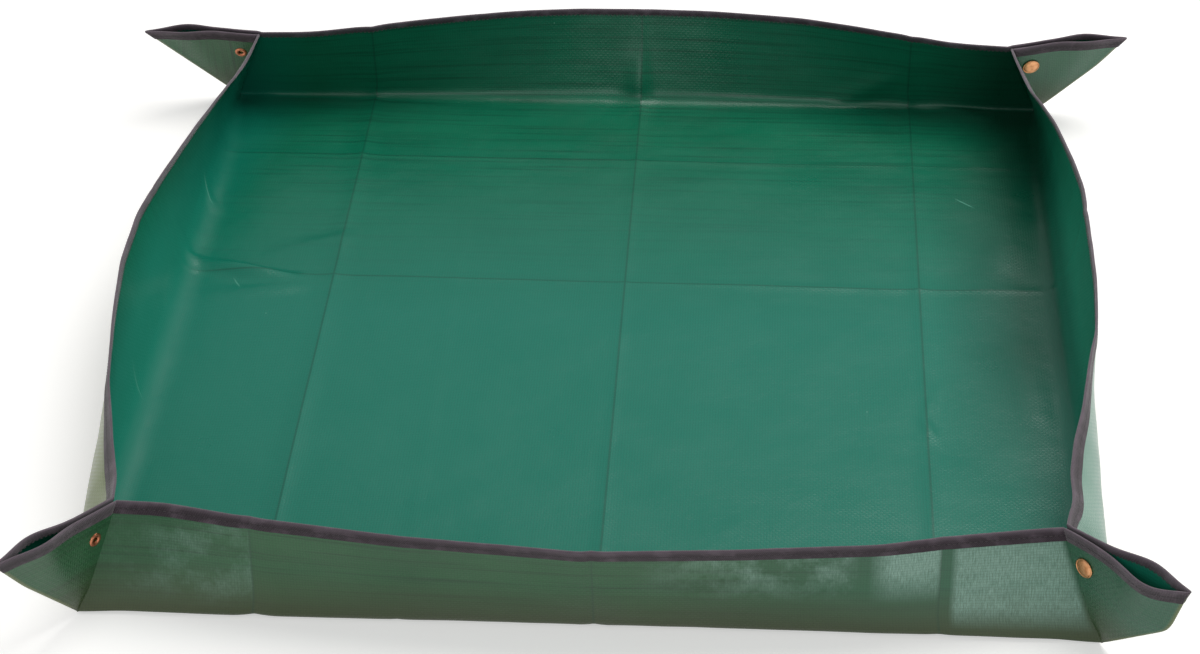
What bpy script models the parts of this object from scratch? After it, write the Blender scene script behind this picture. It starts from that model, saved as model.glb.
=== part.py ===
"""A repotting mat: a square of woven tarpaulin whose four sides stand up as walls.

At each corner the sheet folds on its diagonal into an ear of two layers, and a snap holds
the two layers together. Lengths are in metres, +Z is up, and the origin lies on the ground
under the middle of the floor. The front wall faces -Y, the right wall +X.
"""

import bmesh
import bpy
from math import asin, atan, atan2, cos, pi, radians, sin, sqrt
from mathutils import Matrix, Vector

# The sheet, cut flat
SHEET_LENGTH = 1.000
SHEET_DEPTH = 1.000
SHEET_THICKNESS = 0.0005
WALL_HEIGHT = 0.095

# How the walls stand
CORNER_PINCH = 0.032          # how far each rim is drawn in, along both sides, at a closed corner
MIDDLE_LEAN = radians(16.0)   # outward, at the middle of each wall
LEAN_POWER = 1.3              # how soon the lean gives way to the pinch towards the corners

# The ears
EAR_START = 0.007             # where the ear's layers begin, up from the floor's corner
EAR_BULGE = 0.0045            # how far each layer stands off between its snap and its tip

# The folded binding tape
BINDING_WIDTH = 0.012
BINDING_THICKNESS = 0.0006

# Clearances
CLEARANCE = 0.0003
BINDING_END_GAP = 0.0009
OVERRUN = 0.002               # how far a cutter passes through what it cuts

# The snaps: a domed cap with its socket, an eyelet with its stud
SNAP_TO_TAPE = 0.0065         # from the cap's edge up to the binding tape
SNAP_TO_CREASE = 0.0027       # from the cap's edge to the crease beside it
CAP_DIAMETER = 0.017
CAP_HEIGHT = 0.0022
CAP_EDGE = 0.0008
CAP_POST_DIAMETER = 0.0030
SOCKET_DIAMETER = 0.0136
SOCKET_HEIGHT = 0.0028
SOCKET_FLOOR = 0.0007
STUD_FLANGE_DIAMETER = 0.0120
STUD_FLANGE_THICKNESS = 0.0008
STUD_DIAMETER = 0.0070
STUD_WALL = 0.0006
STUD_PLAY = 0.0005            # round the stud, which leaves its socket at a slant
EYELET_DIAMETER = 0.0120
EYELET_HEIGHT = 0.0010
EYELET_WALL = 0.0004

# How finely the curves are cut
WALL_STEPS = 32
PANEL_ROWS = 3
EAR_STEPS = 12
BINDING_ARC_STEPS = 2
TURNED_STEPS = 16
DOME_STEPS = 4
ROLL_STEPS = 5

# Sizes that follow from those
HALF_FLOOR_X = SHEET_LENGTH / 2 - WALL_HEIGHT
HALF_FLOOR_Y = SHEET_DEPTH / 2 - WALL_HEIGHT
SOCKET_BORE = STUD_DIAMETER + 2 * STUD_PLAY
STUD_HEIGHT = SOCKET_HEIGHT - SOCKET_FLOOR - 2 * CLEARANCE
STUD_BORE = STUD_DIAMETER - 2 * STUD_WALL
EYELET_BARREL = STUD_BORE - 2 * CLEARANCE
SNAP_STACK = SOCKET_HEIGHT + STUD_FLANGE_THICKNESS + 3 * CLEARANCE
SNAP_HEIGHT = WALL_HEIGHT - BINDING_WIDTH - SNAP_TO_TAPE - CAP_DIAMETER / 2
SNAP_REACH = SNAP_TO_CREASE + CAP_DIAMETER / 2
SEAT_OFFSET = SNAP_STACK / 2 + SHEET_THICKNESS / 2
FOLD_OFFSET = CLEARANCE / 2 + BINDING_THICKNESS + CLEARANCE + SHEET_THICKNESS / 2
BINDING_RADIUS = SHEET_THICKNESS / 2 + CLEARANCE + BINDING_THICKNESS / 2
BINDING_PROUD = CLEARANCE + BINDING_THICKNESS
BINDING_LEG = BINDING_WIDTH - BINDING_RADIUS
BINDING_LEG_SHARE = BINDING_LEG / (2 * BINDING_LEG + pi * BINDING_RADIUS)
CORNER_LEAN = -asin(CORNER_PINCH / WALL_HEIGHT)
CREASE_TURN = atan(CORNER_PINCH / WALL_HEIGHT)
CREASE_TILT = atan2(CORNER_PINCH * sqrt(2), WALL_HEIGHT * cos(CORNER_LEAN))
EAR_ANGLE = pi / 4 + CREASE_TURN
EAR_FLAT_REACH = SNAP_REACH + CAP_DIAMETER / 2
EAR_FLAT_SHARE = EAR_FLAT_REACH / SNAP_HEIGHT / EAR_ANGLE
CREASE_INSET = sqrt(2) * (SEAT_OFFSET + SHEET_THICKNESS / 2) - SHEET_THICKNESS * cos(CORNER_LEAN)

UP = Vector((0, 0, 1))

# Each wall: its middle's direction, the direction along it, its half length
WALLS = {
    "front": (Vector((0, -1, 0)), Vector((1, 0, 0)), HALF_FLOOR_X, HALF_FLOOR_Y),
    "back": (Vector((0, 1, 0)), Vector((1, 0, 0)), HALF_FLOOR_X, HALF_FLOOR_Y),
    "left": (Vector((-1, 0, 0)), Vector((0, 1, 0)), HALF_FLOOR_Y, HALF_FLOOR_X),
    "right": (Vector((1, 0, 0)), Vector((0, 1, 0)), HALF_FLOOR_Y, HALF_FLOOR_X),
}

# How far each ear swings from the corner's diagonal, towards the left or right wall
EAR_SWING = {
    "front_left": radians(-12),
    "front_right": radians(-4),
    "back_right": radians(36),
    "back_left": radians(45),
}

# Each ear layer: its wall, the end of the wall it grows from, the snap half that it carries, its
# corner, and 1 if a swing is towards the layer's outer face, or -1. Going round the mat, every
# wall has a cap at one end and an eyelet at the other.
EAR_LAYERS = (
    ("front", -1, "left", "eyelet", "front_left", -1),
    ("front", 1, "right", "cap", "front_right", -1),
    ("right", -1, "front", "eyelet", "front_right", 1),
    ("right", 1, "back", "cap", "back_right", 1),
    ("back", 1, "right", "eyelet", "back_right", -1),
    ("back", -1, "left", "cap", "back_left", -1),
    ("left", 1, "back", "eyelet", "back_left", 1),
    ("left", -1, "front", "cap", "front_left", 1),
)


def clear_scene():
    for obj in list(bpy.data.objects):
        bpy.data.objects.remove(obj, do_unlink=True)


def material(name, colour, roughness, metallic):
    made = bpy.data.materials.new(name)
    made.use_nodes = True
    shader = made.node_tree.nodes["Principled BSDF"]
    shader.inputs["Base Color"].default_value = (*colour, 1.0)
    shader.inputs["Roughness"].default_value = roughness
    shader.inputs["Metallic"].default_value = metallic
    return made


def tarpaulin(name):
    return material(name + "_tarpaulin", (0.018, 0.130, 0.075), 0.42, 0.0)


def binding_tape(name):
    return material(name + "_tape", (0.070, 0.052, 0.060), 0.85, 0.0)


def brass(name):
    return material(name + "_brass", (0.68, 0.36, 0.16), 0.38, 1.0)


def hub(name, location, parent=None):
    """An empty on a joint's axis, which the pieces of one body hang from."""
    empty = bpy.data.objects.new(name, None)
    empty.location = location - (parent.location if parent else Vector())
    empty.parent = parent
    bpy.context.scene.collection.objects.link(empty)
    return empty


def world_location(empty):
    return empty.location + (world_location(empty.parent) if empty.parent else Vector())


def add_object(name, mesh, carrier, finish):
    """Link a mesh made in world coordinates under its body's empty."""
    if carrier:
        mesh.transform(Matrix.Translation(-world_location(carrier)))
    mesh.shade_smooth()
    mesh.set_sharp_from_angle(angle=radians(40))
    mesh.materials.append(finish)
    obj = bpy.data.objects.new(name, mesh)
    obj.parent = carrier
    bpy.context.scene.collection.objects.link(obj)
    return obj


def sheet_object(name, steps, rows, point_at, thickness, carrier, finish):
    """A grid whose points are laid out by point_at(u, v), u and v running 0 to 1, then thickened."""
    bm = bmesh.new()
    bmesh.ops.create_grid(bm, x_segments=steps, y_segments=rows, size=1)
    for vert in bm.verts:
        vert.co = point_at((vert.co.x + 1) / 2, (vert.co.y + 1) / 2)
    mesh = bpy.data.meshes.new(name)
    bm.to_mesh(mesh)
    bm.free()
    obj = add_object(name, mesh, carrier, finish)
    solid = obj.modifiers.new("Thickness", "SOLIDIFY")
    solid.thickness = thickness
    solid.offset = 0
    return obj


def turned_object(name, profile, closed, place, carrier, finish):
    """A profile of (radius, height) points spun round its axis, then stood at its place."""
    bm = bmesh.new()
    verts = [bm.verts.new((radius, 0, height)) for radius, height in profile]
    pairs = list(zip(verts, verts[1:])) + ([(verts[-1], verts[0])] if closed else [])
    edges = [bm.edges.new(pair) for pair in pairs]
    bmesh.ops.spin(bm, geom=verts + edges, cent=(0, 0, 0), axis=(0, 0, 1), angle=2 * pi,
                   steps=TURNED_STEPS, use_merge=True, use_duplicate=False)
    bmesh.ops.remove_doubles(bm, verts=bm.verts, dist=CLEARANCE / 100)
    bmesh.ops.recalc_face_normals(bm, faces=bm.faces)
    mesh = bpy.data.meshes.new(name)
    bm.to_mesh(mesh)
    bm.free()
    mesh.transform(place)
    return add_object(name, mesh, carrier, finish)


def smoothstep(x):
    x = min(max(x, 0.0), 1.0)
    return x * x * (3 - 2 * x)


# The walls

def lean_at(s):
    """The wall's lean out of the vertical at s, which runs from -1 to 1 along it."""
    return MIDDLE_LEAN + (CORNER_LEAN - MIDDLE_LEAN) * abs(s) ** LEAN_POWER


def wall_frame(side, s):
    """At s on a wall: the hinge line's point, the unit step up the wall and the outward normal."""
    outward, along, half_length, distance = WALLS[side]
    lean = lean_at(s)
    start = outward * distance + along * s * (half_length - CREASE_INSET) + UP * SHEET_THICKNESS
    rise = outward * sin(lean) + UP * cos(lean) - along * s * CORNER_PINCH / WALL_HEIGHT
    normal = outward * cos(lean) - UP * sin(lean)
    return start, rise, normal


def wall_point(side, s, height, shift):
    """A point up the wall from its hinge line; shift is measured outward from mid-thickness."""
    start, rise, normal = wall_frame(side, s)
    return start + rise * height + normal * (SHEET_THICKNESS / 2 + shift)


def binding_path(v):
    """Across the folded tape, from its inner edge over the rim to its outer edge.

    Returns the height above the rim and the shift outward from mid-thickness.
    """
    share = BINDING_LEG_SHARE
    if v < share:
        return -BINDING_LEG * (1 - v / share), -BINDING_RADIUS
    if v > 1 - share:
        return -BINDING_LEG * (1 - (1 - v) / share), BINDING_RADIUS
    turn = pi * (v - share) / (1 - 2 * share)
    return BINDING_RADIUS * sin(turn), -BINDING_RADIUS * cos(turn)


def binding_rows():
    """The places across the tape where it is cut: both legs, and the turn over the rim."""
    turn_share = (1 - 2 * BINDING_LEG_SHARE) / BINDING_ARC_STEPS
    turn = [BINDING_LEG_SHARE + turn_share * n for n in range(BINDING_ARC_STEPS + 1)]
    return [0.0] + turn + [1.0]


def panel_heights(low):
    """Heights at which a panel is cut: even steps up to the tape's edge, then the rim."""
    under_tape = WALL_HEIGHT - BINDING_WIDTH
    return [low + (under_tape - low) * n / PANEL_ROWS for n in range(PANEL_ROWS + 1)] + [WALL_HEIGHT]


def make_wall(side, carrier):
    half_length = WALLS[side][2] - CREASE_INSET
    rows = binding_rows()
    heights = panel_heights(CLEARANCE)

    def along(u, end_gap):
        reach = 1 - end_gap / half_length
        return min(max(2 * u - 1, -reach), reach)

    def panel(u, v):
        return wall_point(side, along(u, CLEARANCE), heights[round(v * (len(heights) - 1))], 0)

    def tape(u, v):
        height, shift = binding_path(rows[round(v * (len(rows) - 1))])
        return wall_point(side, along(u, BINDING_END_GAP), WALL_HEIGHT + CLEARANCE + height, shift)

    name = side + "_wall"
    sheet_object(name + "_panel", WALL_STEPS, len(heights) - 1, panel, SHEET_THICKNESS, carrier,
                 tarpaulin(name))
    sheet_object(name + "_binding", WALL_STEPS, len(rows) - 1, tape, BINDING_THICKNESS, carrier,
                 binding_tape(name))


# The ears

def ear_frame(side, end, swing):
    """The corner's foot, and the ear's directions up the crease, away from it and off the layer."""
    outward, along, _, _ = WALLS[side]
    start, _, normal = wall_frame(side, end)
    out = (outward + along * end).normalized()
    off = (outward - along * end).normalized()
    foot = start + normal * SHEET_THICKNESS - off * (SEAT_OFFSET + SHEET_THICKNESS / 2)
    crease = UP * cos(CREASE_TILT) - out * sin(CREASE_TILT)
    away = UP * sin(CREASE_TILT) + out * cos(CREASE_TILT)
    return foot, crease, away * cos(swing) + off * sin(swing), off * cos(swing) - away * sin(swing)


def layer_start(swing, half_thickness, wall_proud, gap):
    """How far from the crease a swung layer starts, so that it clears the end of its own wall.

    It is past the wall's end or, if it swings towards the wall, outside the wall's outer face and
    what stands proud of that.
    """
    edge = SEAT_OFFSET + (half_thickness if swing > 0 else -half_thickness)
    past_end = (gap + edge * sin(swing)) / cos(swing)
    if swing <= 0:
        return past_end
    outer_face = SEAT_OFFSET + SHEET_THICKNESS / 2
    nearest = (SEAT_OFFSET - half_thickness) * (cos(swing) - sin(swing))
    outside = (sqrt(2) * (gap + wall_proud) + outer_face - nearest) / (cos(swing) + sin(swing))
    return min(outside, past_end)


def ear_offset(share, height):
    """How far a layer's mid-thickness lies from the diagonal plane.

    share runs from 0 at the crease to 1 at the diagonal fold.
    """
    past = max(share - EAR_FLAT_SHARE, 0) / (1 - EAR_FLAT_SHARE)
    settled = SEAT_OFFSET + (FOLD_OFFSET - SEAT_OFFSET) * smoothstep(past)
    return settled + EAR_BULGE * sin(pi * past) ** 2 * (height / WALL_HEIGHT) ** 2


def ear_point(side, end, swing, share, height, shift, start):
    """A point of an ear layer, height measured square to the rim from the floor's corner."""
    foot, crease, away, off = ear_frame(side, end, swing)
    angle = EAR_ANGLE * share
    reach = height / cos(angle - CREASE_TURN)
    middle = foot + crease * reach * cos(angle) + away * (start + reach * sin(angle))
    return middle + off * (ear_offset(share, height) + shift)


def snap_place(side, end, swing, outside):
    """The matrix of a snap piece: on the layer's outer or inner face, its axis pointing off it."""
    _, _, _, off = ear_frame(side, end, swing)
    share = SNAP_REACH / SNAP_HEIGHT / EAR_ANGLE
    face = SHEET_THICKNESS / 2 if outside else -SHEET_THICKNESS / 2
    start = layer_start(abs(swing), SHEET_THICKNESS / 2, 0, CLEARANCE)
    seat = ear_point(side, end, swing, share, SNAP_HEIGHT, face, start)
    axis = off if outside else -off
    turn = UP.rotation_difference(axis).to_matrix().to_4x4()
    return Matrix.Translation(seat) @ turn


def cap_profile():
    """A domed cap with a solid post through the layer, as (radius, height above the face)."""
    rise = CAP_HEIGHT - CAP_EDGE
    step = pi / 2 / DOME_STEPS
    dome = [(CAP_DIAMETER / 2 * cos(n * step), CAP_EDGE + rise * sin(n * step))
            for n in range(DOME_STEPS)]
    post = CAP_POST_DIAMETER / 2
    depth = -SHEET_THICKNESS - 2 * CLEARANCE - SOCKET_FLOOR
    under = [(0, depth), (post, depth), (post, CLEARANCE), (CAP_DIAMETER / 2 - CAP_EDGE, CLEARANCE)]
    return under + dome + [(0, CAP_HEIGHT)]


def socket_profile():
    """A ring with a floor that the cap's post passes through."""
    bore, outer = SOCKET_BORE / 2, SOCKET_DIAMETER / 2
    hole = CAP_POST_DIAMETER / 2 + CLEARANCE
    low, high = CLEARANCE, CLEARANCE + SOCKET_HEIGHT
    edge = (outer - bore) / 4
    return [(hole, low), (outer, low), (outer, high - edge), (outer - edge, high),
            (bore + edge, high), (bore, high - edge), (bore, low + SOCKET_FLOOR),
            (hole, low + SOCKET_FLOOR)]


def stud_profile():
    """A flange with a hollow stud that snaps into the socket."""
    flange, outer, inner = STUD_FLANGE_DIAMETER / 2, STUD_DIAMETER / 2, STUD_BORE / 2
    low = CLEARANCE
    shoulder = low + STUD_FLANGE_THICKNESS
    top = shoulder + STUD_HEIGHT
    return [(inner, low), (flange, low), (flange, shoulder), (outer, shoulder),
            (outer, top - STUD_WALL / 2), (outer - STUD_WALL / 2, top), (inner, top)]


def eyelet_profile():
    """A rolled ring outside the layer, with a barrel through it that ends inside the stud."""
    barrel, outer = EYELET_BARREL / 2, EYELET_DIAMETER / 2
    hole = barrel - EYELET_WALL
    half = (outer - hole) / 2
    step = pi / ROLL_STEPS
    roll = [(outer - half + half * cos(n * step), CLEARANCE + EYELET_HEIGHT * sin(n * step))
            for n in range(ROLL_STEPS + 1)]
    depth = -SHEET_THICKNESS - 2 * CLEARANCE
    return roll + [(hole, depth), (barrel, depth), (barrel, CLEARANCE)]


def pierce(panel, place, passing):
    """Cut the hole that the snap's post or barrel passes through, given what passes."""
    radius = passing / 2 + CLEARANCE
    bm = bmesh.new()
    bmesh.ops.create_cone(bm, cap_ends=True, segments=TURNED_STEPS, radius1=radius, radius2=radius,
                          depth=2 * (SHEET_THICKNESS + OVERRUN))
    mesh = bpy.data.meshes.new(panel.name + "_hole_cutter")
    bm.to_mesh(mesh)
    bm.free()
    mesh.transform(place)
    mesh.transform(Matrix.Translation(-world_location(panel.parent)))
    cutter = bpy.data.objects.new(mesh.name, mesh)
    cutter.parent = panel.parent
    cutter.hide_render = True
    cutter.display_type = "WIRE"
    bpy.context.scene.collection.objects.link(cutter)
    cut = panel.modifiers.new("Hole", "BOOLEAN")
    cut.object = cutter
    cut.operation = "DIFFERENCE"
    cut.solver = "EXACT"


def make_ear(side, end, toward, half, swing, carrier):
    rows = binding_rows()
    heights = panel_heights(EAR_START)
    low_start = layer_start(swing, SHEET_THICKNESS / 2, 0, CLEARANCE)
    rim_start = layer_start(swing, SHEET_THICKNESS / 2 + BINDING_PROUD, BINDING_PROUD,
                            BINDING_END_GAP)

    def panel(u, v):
        row = round(v * (len(heights) - 1))
        start = rim_start if row >= PANEL_ROWS else low_start
        return ear_point(side, end, swing, u, heights[row], 0, start * (1 - u))

    def tape(u, v):
        height, shift = binding_path(rows[round(v * (len(rows) - 1))])
        return ear_point(side, end, swing, u, WALL_HEIGHT + CLEARANCE + height, shift,
                         rim_start * (1 - u))

    name = side + "_wall_" + toward + "_ear"
    layer = sheet_object(name + "_panel", EAR_STEPS, len(heights) - 1, panel, SHEET_THICKNESS,
                         carrier, tarpaulin(name))
    sheet_object(name + "_binding", EAR_STEPS, len(rows) - 1, tape, BINDING_THICKNESS, carrier,
                 binding_tape(name))
    outer = snap_place(side, end, swing, True)
    inner = snap_place(side, end, swing, False)
    if half == "cap":
        pierce(layer, outer, CAP_POST_DIAMETER)
        turned_object(name + "_snap_cap", cap_profile(), False, outer, carrier, brass(name + "_cap"))
        turned_object(name + "_snap_socket", socket_profile(), True, inner, carrier,
                      brass(name + "_socket"))
    else:
        pierce(layer, outer, EYELET_BARREL)
        turned_object(name + "_snap_eyelet", eyelet_profile(), True, outer, carrier,
                      brass(name + "_eyelet"))
        turned_object(name + "_snap_stud", stud_profile(), True, inner, carrier,
                      brass(name + "_stud"))


# The floor

def make_floor():
    def panel(u, v):
        reach_x, reach_y = HALF_FLOOR_X - CLEARANCE, HALF_FLOOR_Y - CLEARANCE
        return Vector(((2 * u - 1) * reach_x, (2 * v - 1) * reach_y, SHEET_THICKNESS / 2))

    sheet_object("floor_panel", 1, 1, panel, SHEET_THICKNESS, None, tarpaulin("floor"))


def main():
    clear_scene()
    make_floor()
    hinges = {}
    for side, (outward, _, _, distance) in WALLS.items():
        middle = outward * distance + UP * SHEET_THICKNESS
        hinges[side] = hub(side + "_wall_hinge", middle)
        make_wall(side, hinges[side])
    for side, end, toward, half, corner, facing in EAR_LAYERS:
        start, _, normal = wall_frame(side, end)
        foot = start + normal * SHEET_THICKNESS
        crease = hub(side + "_wall_" + toward + "_crease", foot, hinges[side])
        make_ear(side, end, toward, half, facing * EAR_SWING[corner], crease)


main()
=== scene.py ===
# %% [markdown]
# # A repotting mat
# The real mat is one square of woven polyethylene tarpaulin, edged with folded tape. Its four
# sides stand up as walls, because each corner is pinched into an ear of two layers and snapped.
# The frame brings the rigid model: one body for the floor, one for each wall and one for each
# layer of each ear. Everything below is soft cloth laid over those bodies.

# %% Load the frame
from functools import lru_cache, partial
from math import asin, atan, atan2, cos, exp, hypot, pi, radians, sin, sqrt, tan

import bmesh
import bpy
from mathutils import Matrix, Vector, noise


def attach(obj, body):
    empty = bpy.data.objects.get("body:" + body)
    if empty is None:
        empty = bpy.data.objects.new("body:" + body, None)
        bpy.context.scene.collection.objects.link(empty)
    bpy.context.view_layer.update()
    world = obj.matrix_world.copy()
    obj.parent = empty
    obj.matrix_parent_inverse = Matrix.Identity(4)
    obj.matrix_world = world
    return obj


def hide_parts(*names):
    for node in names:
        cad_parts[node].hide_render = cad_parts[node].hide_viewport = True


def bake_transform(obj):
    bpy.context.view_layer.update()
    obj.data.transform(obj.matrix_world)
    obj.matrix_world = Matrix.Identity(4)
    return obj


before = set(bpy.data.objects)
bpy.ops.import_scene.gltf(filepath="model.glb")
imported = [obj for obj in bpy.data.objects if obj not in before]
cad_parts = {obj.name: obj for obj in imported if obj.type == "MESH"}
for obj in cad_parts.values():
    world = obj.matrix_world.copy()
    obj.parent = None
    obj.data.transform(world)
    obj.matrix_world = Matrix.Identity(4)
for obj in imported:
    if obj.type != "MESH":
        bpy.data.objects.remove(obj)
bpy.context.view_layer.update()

# %% [markdown]
# The sizes are those of the flat sheet, in metres. A point of the cloth is named by where it lies
# on the flat sheet, x to the right and y to the back, with 0, 0 in the middle. Folds, dents and
# weave are all placed in these sheet coordinates, so they run on across every seam.

# %% The sheet's sizes
SHEET = 1.000
WALL = 0.095                  # height of a wall, measured on the cloth
HALF = SHEET / 2 - WALL       # from the middle to a wall's base
PINCH = 0.032                 # how far the rims are drawn in at a corner
STRIP = 0.030                 # the wall's cloth reaches this far over the floor
CLOTH = 0.0004
RAISED = 0.0005               # the base creases lie this high
UP = Vector((0, 0, 1))
CORNER_LEAN = -asin(PINCH / WALL)
CREASE_TURN = atan(PINCH / WALL)
CREASE_TILT = atan2(PINCH * sqrt(2), WALL * cos(CORNER_LEAN))
EAR_ANGLE = pi / 4 + CREASE_TURN
SIDES = {
    "front": (Vector((0, -1, 0)), Vector((1, 0, 0))),
    "back": (Vector((0, 1, 0)), Vector((1, 0, 0))),
    "left": (Vector((-1, 0, 0)), Vector((0, 1, 0))),
    "right": (Vector((1, 0, 0)), Vector((0, 1, 0))),
}
print("floor", 2 * HALF, "m square, ear angle", round(EAR_ANGLE, 3))


def smoothstep(x):
    x = min(max(x, 0.0), 1.0)
    return x * x * (3 - 2 * x)


# %% [markdown]
# Tarpaulin that has been stored folded keeps its creases. Here three run front to back, with a
# faint fourth, and two run across. A crease is a low ridge with a sharp top. Between them the
# cloth is never quite flat: it has long soft waves, fine crinkles, and a few dents where it was
# handled. A dent can be steeper on one side, so its near and its far side have their own widths.

# %% The relief of the cloth
# Each crease: its place, its height, its reach to either side
CREASES_X = ((-0.264, 0.0022, 0.020), (0.007, 0.0014, 0.013), (0.278, 0.0018, 0.016),
             (-0.150, 0.0005, 0.008))
CREASES_Y = ((0.077, 0.0009, 0.013), (0.290, 0.0004, 0.010))
# Each dent: its place, heading, half length, half widths on the near and far side, and height
DENTS = (
    (-0.352, 0.084, radians(-14), 0.050, 0.013, 0.0055, 0.0075),
    (-0.320, 0.050, radians(8), 0.036, 0.009, 0.009, 0.0030),
    (-0.405, 0.200, radians(-50), 0.026, 0.006, 0.006, 0.0010),
    (0.003, 0.425, radians(90), 0.026, 0.012, 0.012, 0.0045),
    (-0.385, 0.390, radians(60), 0.020, 0.012, 0.012, 0.0040),
    (0.283, -0.100, radians(80), 0.020, 0.005, 0.005, 0.0012),
    (0.280, -0.135, radians(110), 0.016, 0.005, 0.005, 0.0012),
    (0.233, 0.427, radians(30), 0.040, 0.012, 0.012, 0.0030),
    (0.330, 0.395, radians(-20), 0.035, 0.012, 0.012, 0.0030),
    (0.360, 0.150, radians(75), 0.060, 0.020, 0.020, 0.0030),
    (0.370, -0.080, radians(95), 0.070, 0.018, 0.018, 0.0030),
    (-0.285, 0.130, radians(24), 0.040, 0.018, 0.012, 0.0022),
)
WANDER = 0.0012               # how far a crease strays from its line
WAVES, CRINKLES = 0.0016, 0.00035
CALM_AT_CORNER, CALM_AT_STRIP = 0.040, 0.050    # over which it all grows from nothing


def ridge(distance, height, reach):
    near = max(1 - abs(distance) / reach, 0.0)
    return height * near * near


def relief(x, y):
    """How far the cloth stands off its smooth shape, towards the inside of the tray."""
    wander = WANDER * noise.noise(Vector((x * 9, y * 9, 3.1)))
    worn = 0.75 + 0.5 * noise.noise(Vector((x * 14, y * 14, 7.7)))
    height = sum(ridge(x + wander - at, tall * worn, reach) for at, tall, reach in CREASES_X)
    height += sum(ridge(y + wander - at, tall * worn, reach) for at, tall, reach in CREASES_Y)
    for at_x, at_y, heading, length, near_side, far_side, tall in DENTS:
        along = (x - at_x) * cos(heading) + (y - at_y) * sin(heading)
        across = (y - at_y) * cos(heading) - (x - at_x) * sin(heading)
        width = far_side if across > 0 else near_side
        if abs(along) < 3 * length and abs(across) < 3 * width:
            height += tall * exp(-(along / length) ** 2 - (across / width) ** 2)
    height += WAVES * (noise.noise(Vector((x * 5, y * 7, 0.4))) + 0.6)
    height += CRINKLES * noise.noise(Vector((x * 28, y * 34, 1.9)))
    # Nothing stands off at the corners, where the creases hold the cloth
    far, near = max(abs(x), abs(y)), min(abs(x), abs(y))
    limit = far if far < HALF else HALF - PINCH * (far - HALF) / WALL
    at_corner = smoothstep((limit - near) / CALM_AT_CORNER)
    inside = smoothstep((HALF - far - STRIP) / CALM_AT_STRIP)
    return max(height, 0.0) * max(at_corner, inside)


print("relief at the middle", round(relief(0.007, 0.0) * 1000, 2), "mm")

# %% [markdown]
# A wall stands on its base crease. It leans outward in its middle and inward at its ends, where
# the ears pull both rims in. The storage creases make the rim an angular line, so the lean is
# given at a few places along the wall and runs straight between them, a little rounded. The two
# side walls are slack as well: they bag out low down and turn in again to the rim, as half a
# wave. A bag takes up cloth, so the chord of the wall is shorter there.

# %% How the walls stand
END_LEAN = round(CORNER_LEAN * 180 / pi, 2)
# Along each wall, from -1 to 1: the lean in degrees, outward positive
LEANS = {
    "front": ((-1, END_LEAN), (-.9, -17.5), (-.72, -6), (-.4, 5), (0, 12.2), (.3, 8.5),
              (.62, 2), (.74, -4.5), (.9, -12.5), (1, END_LEAN)),
    "right": ((-1, END_LEAN), (-.9, -15), (-.8, -15), (-.7, -11), (-.6, -5), (-.4, 3), (-.3, 8),
              (-.1, 11), (.3, 11.8), (.42, 8.5), (.6, 1), (.7, -5.5), (.8, -12.5), (.9, -16),
              (1, END_LEAN)),
    "left": ((-1, END_LEAN), (-.9, -16.5), (-.8, -10), (-.6, 1), (-.35, 9.5), (-.1, 16.3),
             (.1, 16.8), (.22, 12.5), (.5, 0), (.72, -10.5), (.85, -16.5), (1, END_LEAN)),
    "back": ((-1, END_LEAN), (-.85, -17), (-.7, -11), (-.5, -1), (-.3, 9.5), (-.15, 15.5),
             (.02, 17.4), (.2, 15.5), (.45, 6), (.68, -8), (.85, -16.5), (1, END_LEAN)),
}
ROUNDED = 0.025               # share of the half wall over which a change of lean is rounded
# Along each slack wall: how deep it bags, in millimetres
BAGS = {
    "right": ((-1, 0), (-.93, 16), (-.85, 18), (-.8, 18), (-.7, 15.5), (-.6, 12.5), (-.5, 10),
              (-.4, 7), (-.2, 4), (0, 2.5), (.3, 2.5), (.5, 6), (.7, 9), (.85, 11), (1, 0)),
    "left": ((-1, 0), (-.92, 17), (-.8, 15.5), (-.7, 12.5), (-.6, 9.3), (-.5, 7), (-.3, 4),
             (-.1, 0), (.15, 0), (.3, 3.5), (.5, 7), (.7, 10), (.85, 12), (1, 0)),
}
BEND = {"front": 0.006, "back": 0.014, "left": 0.024, "right": 0.018}
CORNER_BEND = 0.004
WALL_INSET = 0.0034           # each wall ends this far short of the corner's diagonal
INSET_RISE = 0.025


def between(table, s):
    """The table's value at s, on straight lines between its places."""
    for (s0, v0), (s1, v1) in zip(table, table[1:]):
        if s <= s1:
            return v0 + (v1 - v0) * (s - s0) / (s1 - s0)
    return table[-1][1]


def rounded(table, s, reach):
    spots = [min(max(s + step * reach, -1), 1) for step in (-1, 0, 0, 1)]
    return sum(between(table, spot) for spot in spots) / len(spots)


@lru_cache(maxsize=None)
def lean_at(side, s):
    return radians(rounded(LEANS[side], s, ROUNDED))


@lru_cache(maxsize=None)
def bag_at(side, s):
    """How deep the wall bags, and what share of its height is left as its chord."""
    if side not in BAGS or abs(s) > 0.999:
        return 0.0, 1.0
    depth, share = rounded(BAGS[side], s, 2 * ROUNDED) / 1000, 1.0
    for _ in range(8):
        arch = [(share * n / 24, depth / WALL * sin(pi * n / 24)) for n in range(25)]
        share += 1 - sum(hypot(x1 - x0, y1 - y0) for (x0, y0), (x1, y1) in zip(arch, arch[1:]))
    return depth, share


def eased(side, s, t):
    """The way out along the floor and the way up the wall, for t beyond the base crease."""
    bend = CORNER_BEND + (BEND[side] - CORNER_BEND) * (1 - abs(s) ** 6)
    if abs(t) >= bend:
        return min(t, 0.0), max(t, 0.0)
    return -(bend - t) ** 2 / (4 * bend), (bend + t) ** 2 / (4 * bend)


def limit_at(t):
    """Half the length of a wall's cloth, t beyond the base crease."""
    return HALF + t if t < 0 else HALF - PINCH * t / WALL


def flat_at(side, s, t):
    outward, along = SIDES[side]
    flat = outward * (HALF + t) + along * (s * limit_at(t))
    return flat.x, flat.y


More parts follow.
